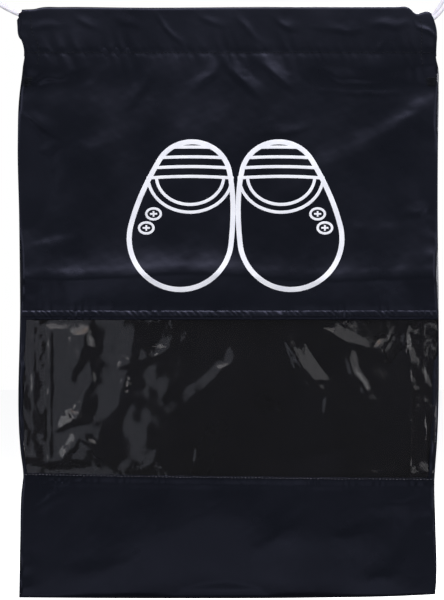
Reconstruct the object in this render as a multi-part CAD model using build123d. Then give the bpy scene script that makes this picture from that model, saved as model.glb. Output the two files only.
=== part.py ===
from build123d import *
import math
import os

# A flat travel shoe bag that hangs by its two drawcords.
# Frame: origin at the middle of the mouth's top edge, +Z up, printed front towards -Y,
# +X to the right as seen from the front. All sizes in millimetres.

# ---- driving dimensions ----
WIDTH = 300.0
HEIGHT = 422.0
CLOTH = 0.6              # coated nylon with its lining, as one layer
FILM = 0.35              # clear vinyl
THREAD = 0.4
PLY_GAP = 0.15           # air between layers that lie on each other

CORD_D = 3.0
LEFT_CORD_Z = -6.8       # the two cords run one above the other in each casing
RIGHT_CORD_Z = -10.6
CORD_Y = 5.6             # from the mid plane to the middle of a casing

CASING_DEPTH = 33.0      # top fold to the casing's stitch line
CASING_INNER = 3.4       # from the mid plane to the casing's inner face
CASING_HALF = 134.0      # the casing's inner ply ends short of the corner
FOLD_HALF = 143.0        # the top fold ends where the cords come out
FOLD_DROP = 3.0

WINDOW_TOP = -224.0
WINDOW_BOTTOM = -335.5
WINDOW_HEM = 6.0         # folded cloth edge that holds the vinyl
HEM_RISE = 0.3           # the window's hems stand a little proud of the panels
SEAM_WIDTH = 17.0        # side seam allowance inside the bag
SEAM_PLY = 0.6
SEAM_EDGE = 1.5          # from the bag's side edge to the allowance
BOTTOM_SEAM = 12.0
EXIT_HEM = 11.0          # turned-in edge of the slit where the cords leave
EXIT_PLY = 0.4
SLIT_END = -56.0         # the side seams start below the exits' slits
BARTACK = (1.4, 1.7, 5.0)

# Half thickness of the filled-out bag, (height, at the middle, at the side edge)
STATIONS = [
    (0.0, 8.65, 8.45),
    (-CASING_DEPTH - 4.0, 8.65, 8.45),
    (SLIT_END, 9.2, 1.5),
    (-120.0, 10.2, 1.5),
    (-224.0, 11.0, 1.5),
    (-336.0, 11.0, 1.5),
    (-392.0, 8.0, 1.5),
    (-HEIGHT, 1.7, 1.5),
]

FRONT, BACK = -1, 1
LEFT, RIGHT = -1, 1

os.makedirs("parts", exist_ok=True)


def save(name, shape):
    export_step(shape, f"parts/{name}.step")


# ---- walls: shells that follow the bag's outer form ----
def half_thickness(z):
    """Half thickness at the middle and at the side edge, at height z."""
    for (z1, mid1, edge1), (z2, mid2, edge2) in zip(STATIONS, STATIONS[1:]):
        if z >= z2:
            t = (z1 - z) / (z1 - z2)
            return mid1 + t * (mid2 - mid1), edge1 + t * (edge2 - edge1)
    return STATIONS[-1][1:]


def section(side, z, inset, ply, half_width):
    """One layer's cross section: a shallow arc with its inner copy, ply thick."""
    mid, edge = half_thickness(z)
    edge += (mid - edge) * (1 - (2 * half_width / WIDTH) ** 2)
    ends, crown = edge - inset, mid - inset
    outer = ThreePointArc(
        (-half_width, side * ends), (0, side * crown), (half_width, side * ends)
    )
    inner = ThreePointArc(
        (half_width, side * (ends - ply)),
        (0, side * (crown - ply)),
        (-half_width, side * (ends - ply)),
    )
    ring = Wire([outer, Line(outer @ 1, inner @ 0), inner, Line(inner @ 1, outer @ 0)])
    return Pos(0, 0, z) * Face(ring)


def wall(side, top, bottom, inset=0.0, ply=CLOTH, half_width=WIDTH / 2):
    """A layer of the bag between two heights, inset from its outer form."""
    heights = [top] + [s[0] for s in STATIONS if bottom < s[0] < top] + [bottom]
    return loft([section(side, z, inset, ply, half_width) for z in heights], ruled=True)


def seam_line(side, z, outset):
    """A row of lock stitches, as one flat thread on a layer's outer face."""
    return wall(
        side, z + THREAD / 2, z - THREAD / 2, -outset - THREAD, THREAD, WIDTH / 2 - 3
    )


# ---- drawstring casing: the top edge folded inwards and stitched down ----
def casing(side):
    outer = half_thickness(0)[1]
    tip = outer - CLOTH - PLY_GAP          # inner ply's outer face at the stitch line
    slope_top, slope_end = -14.0, -30.0
    hem_end = -CASING_DEPTH - 3.0
    fold = Polyline(
        (side * CASING_INNER, -FOLD_DROP),
        (side * (CASING_INNER + 1.2), 0),
        (side * (outer - 1.2), 0),
        (side * outer, -FOLD_DROP),
        (side * (outer - CLOTH), -FOLD_DROP),
        (side * (outer - 1.6), -CLOTH),
        (side * (CASING_INNER + 1.6), -CLOTH),
        (side * (CASING_INNER + CLOTH), -FOLD_DROP),
        close=True,
    )
    flap = Polyline(
        (side * CASING_INNER, -FOLD_DROP),
        (side * (CASING_INNER + CLOTH), -FOLD_DROP),
        (side * (CASING_INNER + CLOTH), slope_top),
        (side * tip, slope_end),
        (side * tip, hem_end),
        (side * (tip - CLOTH), hem_end),
        (side * (tip - CLOTH), slope_end),
        (side * CASING_INNER, slope_top),
        close=True,
    )
    top = extrude(Plane.YZ * make_face(fold), FOLD_HALF, both=True)
    inner_ply = extrude(Plane.YZ * make_face(flap), CASING_HALF, both=True)
    return (top + inner_ply).clean()


# ---- cord exits at the two top corners ----
def exit_hem(end, side):
    """The turned-in cloth edge beside the slit, just inside the outer wall."""
    outer_face = half_thickness(0)[1] - CLOTH - 1.5 * PLY_GAP
    strip = Box(EXIT_HEM, EXIT_PLY, CASING_DEPTH - FOLD_DROP - 1)
    middle_x = end * (WIDTH - EXIT_HEM) / 2
    middle_z = -(CASING_DEPTH + FOLD_DROP) / 2
    return Pos(middle_x, side * (outer_face - EXIT_PLY / 2), middle_z) * strip


def bartack(end):
    """The dense stitches that close the slit's lower end, where the walls meet."""
    across, _, tall = BARTACK
    x = end * (WIDTH / 2 - across / 2)
    return Pos(x, 0, SLIT_END + PLY_GAP + tall / 2) * Box(*BARTACK)


# ---- drawcords ----
LEFT_KNOT = Vector(-173.0, 0, 9.6)
RIGHT_KNOT = Vector(160.5, 0, 14.8)
BEND_X = 148.5           # where a cord turns up over the edge of its exit
BIGHT_X = 142.0          # far end of a cord's loop, round the opposite corner
KNOT_R = 4.6
TAIL = 12.0
TAIL_SPREAD = 0.35       # sideways lean of each tail
TAIL_OVERLAP = 2.0       # a tail starts this far inside the knot
EXIT_RADIUS = 6.0
BIGHT_RADIUS = CORD_Y - 0.1
STRAND_APART = 1.7       # half the distance between the strands at the knot


def cord_route(end, z, knot):
    """Knot, one casing, round the far corner, the other casing, back to the knot."""
    start = Vector(end * BEND_X, 0, z)
    towards = (start - knot).normalized() * (KNOT_R - 0.4)
    entry = knot + towards
    return [
        Vector(entry.X, FRONT * STRAND_APART, entry.Z),
        Vector(end * BEND_X, FRONT * CORD_Y, z),
        Vector(-end * BIGHT_X, FRONT * CORD_Y, z),
        Vector(-end * BIGHT_X, BACK * CORD_Y, z),
        Vector(end * BEND_X, BACK * CORD_Y, z),
        Vector(entry.X, BACK * STRAND_APART, entry.Z),
    ]


def drawcord(name, end, z, knot):
    route = cord_route(end, z, knot)
    radii = [EXIT_RADIUS, BIGHT_RADIUS, BIGHT_RADIUS, EXIT_RADIUS]
    path = FilletPolyline(*route, radius=radii)
    start = Plane(path @ 0, z_dir=path % 0)
    tube = sweep(start * Circle(CORD_D / 2), path=path)
    expected = math.pi * (CORD_D / 2) ** 2 * path.length
    print(f"{name}: length {path.length:.1f}, radii {radii}, "
          f"volume {tube.volume:.0f} of {expected:.0f}")
    return tube


def knot(centre, away):
    """An overhand knot in both strands, with two short tails."""
    body = Pos(*centre) * Sphere(KNOT_R)
    for spread in (-TAIL_SPREAD, TAIL_SPREAD):
        direction = Vector(away[0], spread, away[1]).normalized()
        root = Vector(*centre) + direction * (KNOT_R - TAIL_OVERLAP)
        body += Plane(root, z_dir=direction) * Cylinder(
            CORD_D / 2, TAIL, align=(Align.CENTER, Align.CENTER, Align.MIN)
        )
    return body.clean()


# ---- printed pictogram: a generic pair of shoes seen from above ----
PRINT_CENTRE = 5.0
PRINT_TOP, PRINT_BOTTOM = -95.0, -204.0
STROKE = 3.4
HEEL_R, TOE_R = 27.0, 36.0       # to the middle of the stroke
HEEL_OUT, TOE_OUT = 31.5, 39.8   # centres, from the middle of the pair
INK = 0.12
INK_CLEAR = 0.05


def on_circle(centre, radius, degrees):
    angle = math.radians(degrees)
    x, z = centre
    return (x + radius * math.cos(angle), z + radius * math.sin(angle))


def shoe_outline(grow):
    """The right shoe's outline, heel up and toe down, as a face; grow widens it."""
    heel = (HEEL_OUT, PRINT_TOP - STROKE / 2 - HEEL_R)
    toe = (TOE_OUT, PRINT_BOTTOM + STROKE / 2 + TOE_R)
    heel_arc = ThreePointArc(*[on_circle(heel, HEEL_R + grow, a) for a in (176, 90, 26)])
    toe_arc = ThreePointArc(*[on_circle(toe, TOE_R + grow, a) for a in (16, -90, -178)])
    outer = Spline(heel_arc @ 1, toe_arc @ 0, tangents=[heel_arc % 1, toe_arc % 0])
    inner = Spline(toe_arc @ 1, heel_arc @ 0, tangents=[toe_arc % 1, heel_arc % 0])
    return make_face(Plane.XZ * Wire([heel_arc, outer, toe_arc, inner]))


def pictogram():
    """Both outlines as a thin ink layer that follows the front wall."""
    reach = TOE_OUT + TOE_R + STROKE + PRINT_CENTRE
    ink = wall(FRONT, PRINT_TOP + STROKE, PRINT_BOTTOM - STROKE, -INK_CLEAR - INK, INK, reach)
    outline = shoe_outline(STROKE / 2) - shoe_outline(-STROKE / 2)
    ring = extrude(outline, WIDTH / 2, both=True)
    solids = []
    for shoe in (ring, mirror(ring, about=Plane.YZ)):
        solids += (Pos(PRINT_CENTRE, 0, 0) * shoe & ink).solids()
    return Compound(solids)


# ---- cloth and vinyl ----
PANEL_TOP = -FOLD_DROP - PLY_GAP
upper_end = WINDOW_TOP + WINDOW_HEM
lower_start = WINDOW_BOTTOM - WINDOW_HEM

save("front_upper_panel", wall(FRONT, PANEL_TOP, upper_end + PLY_GAP))
save("window_top_hem", wall(FRONT, upper_end, WINDOW_TOP, -HEM_RISE, CLOTH + HEM_RISE))
save("window_film", wall(FRONT, upper_end, lower_start, CLOTH + PLY_GAP, FILM))
save(
    "window_bottom_hem",
    wall(FRONT, WINDOW_BOTTOM, lower_start, -HEM_RISE, CLOTH + HEM_RISE),
)
save("front_lower_panel", wall(FRONT, lower_start - PLY_GAP, -HEIGHT))
save("back_panel", wall(BACK, PANEL_TOP, -HEIGHT))
save("front_casing", casing(FRONT))
save("back_casing", casing(BACK))

# ---- seam allowances turned inside the bag ----
SIDE_BOTTOM = -HEIGHT + BOTTOM_SEAM + 1.0
SEAM_THREAD = (THREAD, SEAM_PLY + 0.1)   # across the seam, and through it
side_length = SLIT_END - SIDE_BOTTOM
side_middle = (SLIT_END + SIDE_BOTTOM) / 2
bottom_length = WIDTH - 4.0
for end, word in ((LEFT, "left"), (RIGHT, "right")):
    x = end * (WIDTH / 2 - SEAM_EDGE - SEAM_WIDTH / 2)
    save(f"{word}_seam_allowance",
         Pos(x, 0, side_middle) * Box(SEAM_WIDTH, SEAM_PLY, side_length))
    x = end * (WIDTH / 2 - SEAM_EDGE / 2)
    save(f"{word}_seam_stitches", Pos(x, 0, side_middle) * Box(*SEAM_THREAD, side_length))
save("bottom_seam_allowance",
     Pos(0, 0, -HEIGHT + BOTTOM_SEAM / 2 + 0.5)
     * Box(bottom_length, SEAM_PLY, BOTTOM_SEAM - 1))
save("bottom_seam_stitches",
     Pos(0, 0, -HEIGHT + 0.3) * Box(bottom_length, SEAM_PLY + 0.3, THREAD))

# ---- stitch lines on the outside ----
STITCH_CLEAR = 0.05
HEM_STITCH = 1.6         # from a window hem's edge to its stitches
casing_line = -CASING_DEPTH + THREAD
hem_outset = HEM_RISE + STITCH_CLEAR
save("front_casing_stitches", seam_line(FRONT, casing_line, STITCH_CLEAR))
save("back_casing_stitches", seam_line(BACK, casing_line, STITCH_CLEAR))
save("window_top_stitches", seam_line(FRONT, WINDOW_TOP + HEM_STITCH, hem_outset))
save("window_bottom_stitches", seam_line(FRONT, WINDOW_BOTTOM - HEM_STITCH, hem_outset))

# ---- cord exits ----
for end, word in ((LEFT, "left"), (RIGHT, "right")):
    save(f"{word}_front_exit_hem", exit_hem(end, FRONT))
    save(f"{word}_back_exit_hem", exit_hem(end, BACK))
    save(f"{word}_bartack", bartack(end))

# ---- drawcords and their knots ----
save("left_drawcord", drawcord("left_drawcord", LEFT, LEFT_CORD_Z, LEFT_KNOT))
save("right_drawcord", drawcord("right_drawcord", RIGHT, RIGHT_CORD_Z, RIGHT_KNOT))
save("left_cord_knot", knot(LEFT_KNOT, (-0.80, 0.60)))
save("right_cord_knot", knot(RIGHT_KNOT, (0.42, 0.91)))

save("shoe_print", pictogram())
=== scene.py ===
import math
import bpy
import numpy as np
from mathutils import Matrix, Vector


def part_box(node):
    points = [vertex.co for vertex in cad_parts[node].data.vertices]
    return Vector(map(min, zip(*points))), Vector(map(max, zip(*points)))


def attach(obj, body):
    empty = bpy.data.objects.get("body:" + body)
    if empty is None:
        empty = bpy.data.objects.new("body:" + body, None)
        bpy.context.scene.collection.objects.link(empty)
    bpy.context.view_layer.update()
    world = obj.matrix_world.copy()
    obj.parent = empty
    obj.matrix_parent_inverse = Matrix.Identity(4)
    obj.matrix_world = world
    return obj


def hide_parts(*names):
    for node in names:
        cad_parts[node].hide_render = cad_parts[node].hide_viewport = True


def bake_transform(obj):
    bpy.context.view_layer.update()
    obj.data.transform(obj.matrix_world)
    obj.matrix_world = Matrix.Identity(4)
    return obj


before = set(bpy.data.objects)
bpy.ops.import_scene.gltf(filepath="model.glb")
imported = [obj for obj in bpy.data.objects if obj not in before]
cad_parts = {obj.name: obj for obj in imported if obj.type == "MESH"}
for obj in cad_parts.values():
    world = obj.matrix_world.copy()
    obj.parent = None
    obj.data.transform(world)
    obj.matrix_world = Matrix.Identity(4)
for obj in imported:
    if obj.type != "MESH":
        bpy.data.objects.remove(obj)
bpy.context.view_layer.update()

# A flat drawstring shoe bag with a film window. Its pieces are worked out in millimetres,
# and their meshes are written in metres.
MM = 0.001
FRONT, BACK = -1, 1
LEFT, RIGHT = -1, 1
SIDES = ((LEFT, "left"), (RIGHT, "right"))
WALLS = ((FRONT, "front"), (BACK, "back"))
BODY = "bag"


def node_span(node):
    """A CAD node's low and high corner, in mm."""
    low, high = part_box(node)
    return np.array(low) / MM, np.array(high) / MM


def add_object(name, data):
    made = bpy.data.objects.new(name, data)
    bpy.context.scene.collection.objects.link(made)
    return made


# ---- sizes from the frame
HALF = node_span("front_upper_panel")[1][0]  # half the bag's width
BOTTOM = node_span("back_panel")[0][2]
PANEL_END = node_span("front_upper_panel")[0][2]
WINDOW_TOP = node_span("window_top_hem")[0][2]
WINDOW_BOTTOM = node_span("window_bottom_hem")[1][2]
LOWER_START = node_span("front_lower_panel")[1][2]
CASING_LINE = node_span("front_casing_stitches")[0][2]
CASING_INNER = node_span("back_casing")[0][1]  # inner ply, from the mid plane
INNER_PLY_HALF = 125.0  # it stops short of the cord exits
FOLD_HALF = node_span("back_casing")[1][0]
ALLOWANCE_LOW, ALLOWANCE_HIGH = node_span("right_seam_allowance")
BOTTOM_SEAM_TOP = node_span("bottom_seam_allowance")[1][2]
SLIT_HEM = node_span("right_front_exit_hem")
BARTACK_BOTTOM = node_span("right_bartack")[0][2]

# ---- camera
SHOWN_HEIGHT = 430.8  # how much of the bag's plane the picture shows
AIM = (-4.7, 0, -209.7)
CAMERA_AWAY = 1700.0
SENSOR = 36.0
camera_data = bpy.data.cameras.new("camera")
camera = add_object("camera", camera_data)
camera.location = (AIM[0] * MM, -CAMERA_AWAY * MM, AIM[2] * MM)
camera.rotation_euler = (math.pi / 2, 0, 0)
camera_data.sensor_width = SENSOR
camera_data.lens = SENSOR * CAMERA_AWAY / SHOWN_HEIGHT
camera_data.clip_start = 0.01
bpy.context.scene.camera = camera


# ---- small maths
def smooth(points):
    """A smooth function through (position, value) points in rising order."""
    x, y = np.array(points, float).T
    slope = np.gradient(y, x)

    def at(t):
        t = np.clip(np.asarray(t, float), x[0], x[-1])
        i = np.clip(np.searchsorted(x, t) - 1, 0, len(x) - 2)
        h = x[i + 1] - x[i]
        s = (t - x[i]) / h
        rise = (3 * s**2 - 2 * s**3) * (y[i + 1] - y[i])
        bend = h * (slope[i] * s * (1 - s) ** 2 - slope[i + 1] * s**2 * (1 - s))
        return y[i] + rise + bend

    return at


def run_along(line):
    """The distance along a line at each of its points."""
    return np.r_[0, np.cumsum(np.linalg.norm(np.diff(line, axis=0), axis=1))]


def evenly(line, gap, more=1):
    """The same line with its points about a gap apart."""
    run = run_along(line)
    at = np.linspace(0, run[-1], int(run[-1] / gap) + more)
    return np.stack([np.interp(at, run, along) for along in line.T], -1)


def unit(vector):
    return vector / np.linalg.norm(vector)


def bell(distance, width):
    return np.exp(-((distance / width) ** 2))


def step(value, start, end):
    s = np.clip((value - start) / (end - start), 0, 1)
    return s * s * (3 - 2 * s)


def waves(seed, x, z, length, count=9):
    """Seeded soft unevenness of about unit height, with bumps about length across."""
    random = np.random.default_rng(seed)
    total = np.zeros(np.broadcast(x, z).shape)
    for _ in range(count):
        angle = random.uniform(0, math.pi)
        k = 2 * math.pi / (length * random.uniform(0.7, 1.6))
        phase = random.uniform(0, 2 * math.pi)
        total += np.sin(k * (x * math.cos(angle) + z * math.sin(angle)) + phase)
    return total / math.sqrt(count / 2)


def ripples(seed, along, length):
    """Seeded uneven ripples along one direction, between -1 and 1."""
    drift = waves(seed, along, 0 * along, length * 4, 5)
    size = 0.55 + 0.45 * np.tanh(waves(seed + 1, along, 0 * along, length * 3, 5))
    return size * np.sin(2 * math.pi * along / length + 1.9 * drift)


def fold_lines(x, z, folds):
    """For each fold: its fade towards the ends, the distance below it, and its size."""
    ragged = 0.6 * waves(7, x, z, 14.0) + 0.14 * waves(8, x, z, 5.5)
    for x1, z1, x2, z2, width, height in folds:
        dx, dz = x2 - x1, z2 - z1
        length = math.hypot(dx, dz)
        along = ((x - x1) * dx + (z - z1) * dz) / length**2
        across = ((x - x1) * dz - (z - z1) * dx) / length
        bow = 0.05 * length * (1 - (2 * along - 1) ** 2)
        yield bell(along - 0.5, 0.44), across - bow + ragged, width, height


def creases(x, z, folds):
    """Soft folds of cloth; the upper flank is the steeper."""
    total = np.zeros(np.broadcast(x, z).shape)
    for fade, below, width, height in fold_lines(x, z, folds):
        total += height * fade * bell(below, width * np.where(below > 0, 1.4, 0.6))
    return total


def bends(x, z, folds):
    """Bends of stiff film: a plane flank above, and a short fall below."""
    total = np.zeros(np.broadcast(x, z).shape)
    for fade, below, width, height in fold_lines(x, z, folds):
        flank = np.clip(1 + below / width, 0, 1)
        total += height * fade * np.where(below > 0, bell(below, 0.35 * width), flank)
    return total


# ---- the bag's form
# Half thickness at the middle and at the side edge, by height
MIDDLE = smooth([(-422, 1.0), (-412, 4.2), (-392, 7.6), (-336, 10.0), (-224, 10.2),
                 (-120, 9.8), (-56, 8.7), (-37, 8.2), (-20, 8.3), (0, 8.7)])
EDGE = smooth([(-422, 1.0), (-392, 1.4), (-224, 1.4), (-70, 1.4), (-56, 2.0),
               (-42, 7.2), (-36, 8.0), (0, 8.4)])
# How far each side edge stands in from the full half width
LEFT_EDGE = smooth([(-422, -0.4), (-380, 0.4), (-352, 1.1), (-336, 2.6), (-318, 0.6),
                    (-210, 0.3), (-150, -0.4), (-96, -1.4), (-65, -0.4), (-52, 1.2),
                    (-42, 3.0), (-36, 4.1), (-28, 3.7), (-23, 1.9), (-19, -0.5),
                    (-15, -1.6), (-10, -1.9), (-6, -2.1), (-4, -2.2), (-2.9, -2.0),
                    (-1.8, 0.2), (0, 0.8)])
RIGHT_EDGE = smooth([(-422, 1.6), (-415, 1.0), (-370, 1.4), (-337, 2.1), (-310, 0.2),
                     (-215, -0.9), (-150, -0.2), (-96, -0.4), (-58, -0.9), (-46, -0.6),
                     (-37, 1.6), (-26, 1.7), (-16, 1.4), (-7, 2.3), (-3, 4.0), (0, 5.5)])
TOP_LINE = smooth([(-151, -3.8), (-149.4, -2.4), (-146, -1.9), (-139, -1.5), (-134, -0.4),
                   (-120, -0.1), (-56, -0.6), (20, 0.0), (100, 0.1), (120, 0.2),
                   (127.5, 0.2), (129, -0.3), (134, -4.6), (135.4, -4.9), (137, -4.4),
                   (142.4, -3.1), (143.6, -3.4), (147.4, -6.6), (150, -10.0)])
BOTTOM_LINE = smooth([(-150, -1.4), (-60, -1.9), (60, -1.5), (120, -0.4), (150, 1.0)])
WINDOW_TILT = -0.012  # the lower window seam drops to the right
SEAM_ROLL = 2.4  # the turned seam's rounded edge
LEAST_ROLL = 0.012  # what is left of the thickness at an edge, squared
CROWN = 2.2  # how flat the middle of a wall is, across
SLIT_END = 46.0  # depth at which the side seam starts
CORNER_TUCK = 2.8  # the front's left corner stands in this much
LEAST_HALF = 0.12  # no wall comes nearer the mid plane
CLOTH = 0.4
FILM = 0.25


def place_x(u, z):
    """x for u, which runs from -1 at the left edge to 1 at the right one."""
    return np.where(u < 0, u * (HALF - LEFT_EDGE(z)), u * (HALF - RIGHT_EDGE(z)))


def rounded(distance):
    """1 away from an edge, and down to almost 0 at it, round the seam's roll."""
    s = np.clip(1 - distance / SEAM_ROLL, 0, 1)
    return np.sqrt(np.maximum(1 - s**2, LEAST_ROLL))


def form(u, z):
    """Half thickness of the smooth bag."""
    middle, edge = MIDDLE(z), EDGE(z)
    crown = edge + (middle - edge) * (1 - np.abs(u) ** CROWN)
    joined = step(-z, SLIT_END - 5, SLIT_END + 6)  # above it the sides are open slits
    side = 1 - joined * (1 - rounded((1 - np.abs(u)) * HALF))
    return crown * side * rounded(z - BOTTOM)


# ---- folds of the cloth
# Each fold is its left end (x, z), its right end (x, z), width and height.
HEM_FOLDS = [
    (-109, -8, -94, -15, 5.0, 0.45), (-80, -7, -64, -13, 5.0, 0.40),
    (-51, -6, -33, -26, 3.2, 0.75), (-20, -7, -4, -14, 5.0, 0.50),
    (6, -7, 21, -24, 4.2, 0.70), (34, -9, 48, -16, 5.5, 0.75), (64, -14, 96, -17, 6.0, 0.45),
    (101, -12, 128, -13, 5.5, 0.65), (100, -36, 111, -25, 3.0, 0.60),
    (118, -35.5, 149, -33, 2.4, 0.50), (134, -9, 148, -19, 3.0, 0.80),
    (-143, -13, -118, -13, 5.0, 0.35), (-141.6, -38, -140.8, -22, 1.6, 0.50),
    (-136, -30, -112, -33, 3.0, 0.30),
]
UPPER_FACETS = [
    (-1, -38, 20, -62, 8.0, 1.5), (23, -38, 46, -58, 8.0, 1.4), (-24, -58, -7, -42, 7.0, 1.1),
    (-147, -53, -112, -48, 5.0, 1.0), (-148, -72, -122, -92, 8.0, 1.6),
    (-148, -131, -128, -117, 6.0, 1.2), (66, -46, 104, -52, 6.0, 0.95),
    (-146, -104, -118, -98, 6.0, 0.8), (124, -150, 150, -138, 7.0, 1.1),
    (26, -90, 58, -86, 6.0, 0.5), (-74, -74, -56, -46, 8.0, 0.8),
]
UPPER_FOLDS = [
    (60, -57.5, 134, -58.5, 1.5, 0.30), (94, -98, 154, -62, 11.0, 1.5),
    (-106, -62, -84, -42, 7.0, 0.6), (-66, -104, -46, -44, 15.0, 1.0),
    (88, -160, 148, -150, 8.0, 0.7), (-146, -172, -104, -163, 7.0, 0.7),
    (-130, -110, -70, -92, 14.0, 0.9), (40, -120, 110, -96, 16.0, 0.8),
]
LOWER_FOLDS = [
    (-148, -364, -116, -344, 5.0, 1.1), (104, -358, 148, -346, 5.0, 0.8),
    (-44, -376, 8, -346, 9.0, 1.0), (14, -394, 62, -352, 10.0, 1.0),
    (-120, -406, -60, -392, 8.0, 0.7), (90, -412, 140, -398, 7.0, 0.6),
    (70, -382, 120, -366, 8.0, 0.7),
]
BACK_FOLDS = [
    (-146, -60, -96, -48, 5.0, 1.1), (-40, -84, -10, -38, 6.0, 1.2),
    (30, -38, 74, -66, 5.0, 1.1), (108, -100, 148, -70, 5.0, 1.1),
    (-148, -150, -100, -120, 6.0, 1.1), (90, -190, 146, -210, 7.0, 1.0),
    (-60, -200, 40, -216, 9.0, 1.0), (-148, -300, -96, -270, 6.0, 1.0),
    (20, -330, 120, -300, 9.0, 1.0), (-100, -350, -20, -382, 9.0, 0.9),
    (10, -180, 60, -120, 10.0, 1.0), (110, -396, 148, -380, 5.0, 0.9),
]
FILM_FOLDS = [
    (-112, -262, -100, -222, 12.0, 3.0), (-106, -288, -98, -250, 6.0, 1.6),
    (-88, -300, -68, -236, 12.0, 3.0), (-82, -257, -32, -240, 8.0, 2.6),
    (-124, -302, -100, -286, 8.0, 2.4), (-127, -331, -106, -306, 6.0, 2.0),
    (-110, -307, -88, -314, 5.0, 1.4), (-64, -333, -54, -325, 3.4, 1.1),
    (-54, -325, -42, -331, 3.4, 1.1), (-30, -282, 12, -241, 8.0, 2.4),
    (42, -238, 72, -279, 10.0, 2.9), (56, -222, 96, -243, 8.0, 2.3),
    (84, -248, 102, -283, 6.0, 1.9), (100, -254, 115, -234, 5.0, 1.7),
    (122, -256, 128, -224, 5.0, 1.6), (-24, -329, -22, -314, 2.6, 0.8),
    (49, -336, 56, -324, 2.6, 0.8), (67, -294, 71, -278, 3.4, 1.0),
    (-118, -286, -100, -298, 4.4, 1.3), (54, -318, 64, -322, 2.6, 0.7),
]
# The pressed crease above the window: its section by height, and its size by width
CREASE_BAND = smooth([(-222, -0.3), (-214, 0.3), (-205, 1.5), (-197, 3.1), (-193.5, 3.9),
                      (-190, 3.6), (-184, 2.3), (-176, 1.0), (-166, 0.25), (-152, 0.0)])
BAND_SIZE = smooth([(-150, 0.6), (-118, 1.05), (-70, 1.0), (-20, 0.75), (40, 0.72),
                    (100, 0.85), (150, 0.7)])
FILM_CRIMP_LEFT, FILM_CRIMP_RIGHT = 128.0, 129.6  # where the film's side crimps start
FILM_RIDGE = 140.0  # a ridge within each crimped side


def casing_puckers(seed, x, z):
    """The stitch line pulls the cloth in and gathers it."""
    away = np.abs(z - CASING_LINE)
    upper = z > CASING_LINE
    reach = np.where(upper, 11.0, 15.0)
    line = -0.24 * bell(away, 2.4) * (1 + 0.7 * ripples(seed + 4, x, 17.0))
    gathers = 0.5 * ripples(seed, x + 0.25 * (z - CASING_LINE), 12.5)
    fine = 0.16 * ripples(seed + 7, x + 0.5 * (z - CASING_LINE), 6.1) * bell(away, 5.0)
    return line + gathers * bell(away, reach) * (1 - 0.6 * bell(away, 1.2)) + fine


def edge_puckers(seed, u, z):
    """The side seams gather the cloth a little along their length."""
    gap = (1 - np.abs(u)) * HALF
    left, right = ripples(seed, z, 15.0), ripples(seed + 3, z, 15.0)
    size = np.where(u < 0, left, right)
    size = size * (0.4 + 0.6 * step(-z, 30, 50))
    return 0.55 * size * bell(gap, 9.0) * step(gap, 0, 2.5)


def nylon(seed, x, z):
    """The cloth's soft unevenness."""
    soft = 0.8 * waves(seed, x, z, 90.0) + 0.13 * waves(seed + 1, x, z, 30.0)
    return soft + 0.03 * waves(seed + 2, x, z, 9.0)


def seam_puckers(seed, x, z, seam):
    """A seam along the width sinks in a little, with short gathers beside it."""
    away = z - seam
    return 0.28 * ripples(seed, x, 7.0) * bell(away, 6.0) - 0.4 * bell(away, 2.2)


def front_relief(u, x, z):
    """Height of the front cloth's folds above the smooth form."""
    below_casing = step(CASING_LINE - z, 0, 22)
    upper = nylon(11, x, z) * (0.35 + 0.65 * below_casing)
    upper += bends(x, z, HEM_FOLDS) * (1 - step(CASING_LINE - z, -4, 2))
    folds = creases(x, z, UPPER_FOLDS) + bends(x, z, UPPER_FACETS)
    upper += folds * step(CASING_LINE - z, -3, 3)
    line = z + 1.2 * waves(21, x, 0 * z, 120.0, 4)
    upper += CREASE_BAND(line) * BAND_SIZE(x) * (1 + 0.12 * waves(22, x, 0 * z, 60.0, 5))
    upper += casing_puckers(31, x, z) + seam_puckers(36, x, z, PANEL_END)
    lower = 0.8 * nylon(41, x, z) + creases(x, z, LOWER_FOLDS)
    lower += seam_puckers(46, x, z, LOWER_START)
    blend = step(WINDOW_TOP - z, 0, 60)
    return upper * (1 - blend) + lower * blend + edge_puckers(51, u, z)


def back_relief(u, x, z):
    """Height of the back cloth's folds above the smooth form."""
    below_casing = step(CASING_LINE - z, 0, 22)
    relief = nylon(61, x, z) * (0.35 + 0.65 * below_casing)
    relief += creases(x, z, BACK_FOLDS) * step(CASING_LINE - z, -3, 3)
    relief += bends(-x, z, HEM_FOLDS) * (1 - step(CASING_LINE - z, -4, 2))
    return relief + casing_puckers(66, x, z) + edge_puckers(71, u, z)


def film_relief(u, x, z):
    """Stiff film: long soft bends, plane flanks where it was folded, crimped at the sides."""
    relief = 0.5 * waves(81, x, z, 75.0) + 0.05 * waves(82, x, z, 20.0)
    relief += (0.6 * waves(85, x, z, 40.0) + 0.10 * waves(86, x, z, 13.0)) * step(-x, 25, 70)
    relief += bends(x, z, FILM_FOLDS)
    side = np.where(u < 0, FILM_CRIMP_LEFT, FILM_CRIMP_RIGHT)
    band = step(np.abs(x), side - 2, side + 3)
    crimp = 0.16 * waves(83, 1.5 * x, 0.6 * z, 11.0) + 0.06 * waves(84, x, 0.7 * z, 4.5)
    relief += band * crimp + 0.5 * bell(np.abs(x) - side, 1.3)
    relief += 0.45 * bell(np.abs(x) - FILM_RIDGE, 1.2)
    free = np.minimum(step(WINDOW_TOP - z, 0, 12), step(z - WINDOW_BOTTOM, 1, 12))
    edge = step((1 - np.abs(u)) * HALF, 0, 4)
    return relief * free * edge + front_relief(u, x, z) * (1 - free)


RELIEF = {FRONT: front_relief, BACK: back_relief}


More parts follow.
